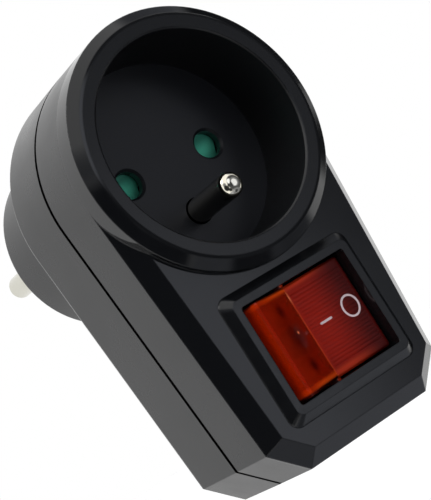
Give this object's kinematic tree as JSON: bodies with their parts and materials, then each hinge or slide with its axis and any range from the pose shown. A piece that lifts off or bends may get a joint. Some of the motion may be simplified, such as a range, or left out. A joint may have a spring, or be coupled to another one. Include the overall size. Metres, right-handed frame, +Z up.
{
  "type": "switched plug adapter",
  "caption": "Black plug-in adapter with a round shuttered socket and earth pin in front, a round plug behind and a tail with a red illuminated rocker switch.",
  "frame": {"origin": "where the plug's axis meets the housing face that lies against the wall", "axes": "+Z up from the tail to the socket, -Y out of the wall towards the socket's rim, +Y along the plug pins into the wall, +X to the right seen from the front"},
  "size_m": [0.05, 0.0719, 0.0838],
  "materials": {
    "black_housing": "satin moulded black",
    "black_bezel": "gloss black",
    "black_inner": "matt",
    "screw_steel": "zinc plated",
    "nickel_plate": "bright nickel plate on brass",
    "brass_strip": "rolled strip",
    "green_shutter": "satin green",
    "spring_steel": "drawn wire",
    "red_rocker": "transparent red",
    "lamp_glass": "clear",
    "resistor_body": "lacquered",
    "dark_plunger": "satin"
  },
  "bodies": {
    "housing": {"front_shell": "black_housing", "rear_shell": "black_housing", "housing_screws": "screw_steel", "socket_earth_pin": "nickel_plate", "plug_earth_tube": "nickel_plate", "earth_bridge": "brass_strip", "contact_carrier": "black_inner", "shutter_spring": "spring_steel", "shutter_retainer": "black_inner", "right_supply_bar": "brass_strip", "left_supply_bar": "brass_strip", "right_load_bar": "brass_strip", "left_load_bar": "brass_strip", "switch_housing": "black_bezel", "left_plug_pin": "nickel_plate", "right_plug_pin": "nickel_plate", "left_socket_contact": "brass_strip", "right_socket_contact": "brass_strip", "upper_common_terminal": "brass_strip", "upper_load_terminal": "brass_strip", "lower_common_terminal": "brass_strip", "lower_load_terminal": "brass_strip"},
    "rocker": {"rocker": "red_rocker", "neon_lamp": "lamp_glass", "lamp_resistor": "resistor_body", "plunger_springs": "spring_steel", "upper_plunger": "dark_plunger", "lower_plunger": "dark_plunger"},
    "upper_blade": {"upper_contact_blade": "brass_strip"},
    "lower_blade": {"lower_contact_blade": "brass_strip"},
    "shutter": {"shutter_slider": "green_shutter"}
  },
  "joints": [
    {"name": "rocker_hinge", "type": "hinge", "parent": "housing", "child": "rocker", "pos_m": [0, -0.02415, -0.0391], "axis": [0, 0, -1], "range_deg": [0, 19]},
    {"name": "upper_blade_hinge", "type": "hinge", "parent": "housing", "child": "upper_blade", "pos_m": [0, -0.0125, -0.0338], "axis": [0, 0, 1], "range_deg": [0, 12]},
    {"name": "lower_blade_hinge", "type": "hinge", "parent": "housing", "child": "lower_blade", "pos_m": [0, -0.0125, -0.0444], "axis": [0, 0, 1], "range_deg": [0, 12]},
    {"name": "shutter_slide", "type": "slide", "parent": "housing", "child": "shutter", "axis": [0, 0, 1], "range_m": [0, 0.0063], "stiffness_N_per_m": 60, "springref_m": -0.004, "deforming": ["shutter_spring"]}
  ],
  "couplings": [
    {"joint": "upper_blade_hinge", "follows": "rocker_hinge", "ratio": 0.63158},
    {"joint": "lower_blade_hinge", "follows": "rocker_hinge", "ratio": 0.63158}
  ]
}
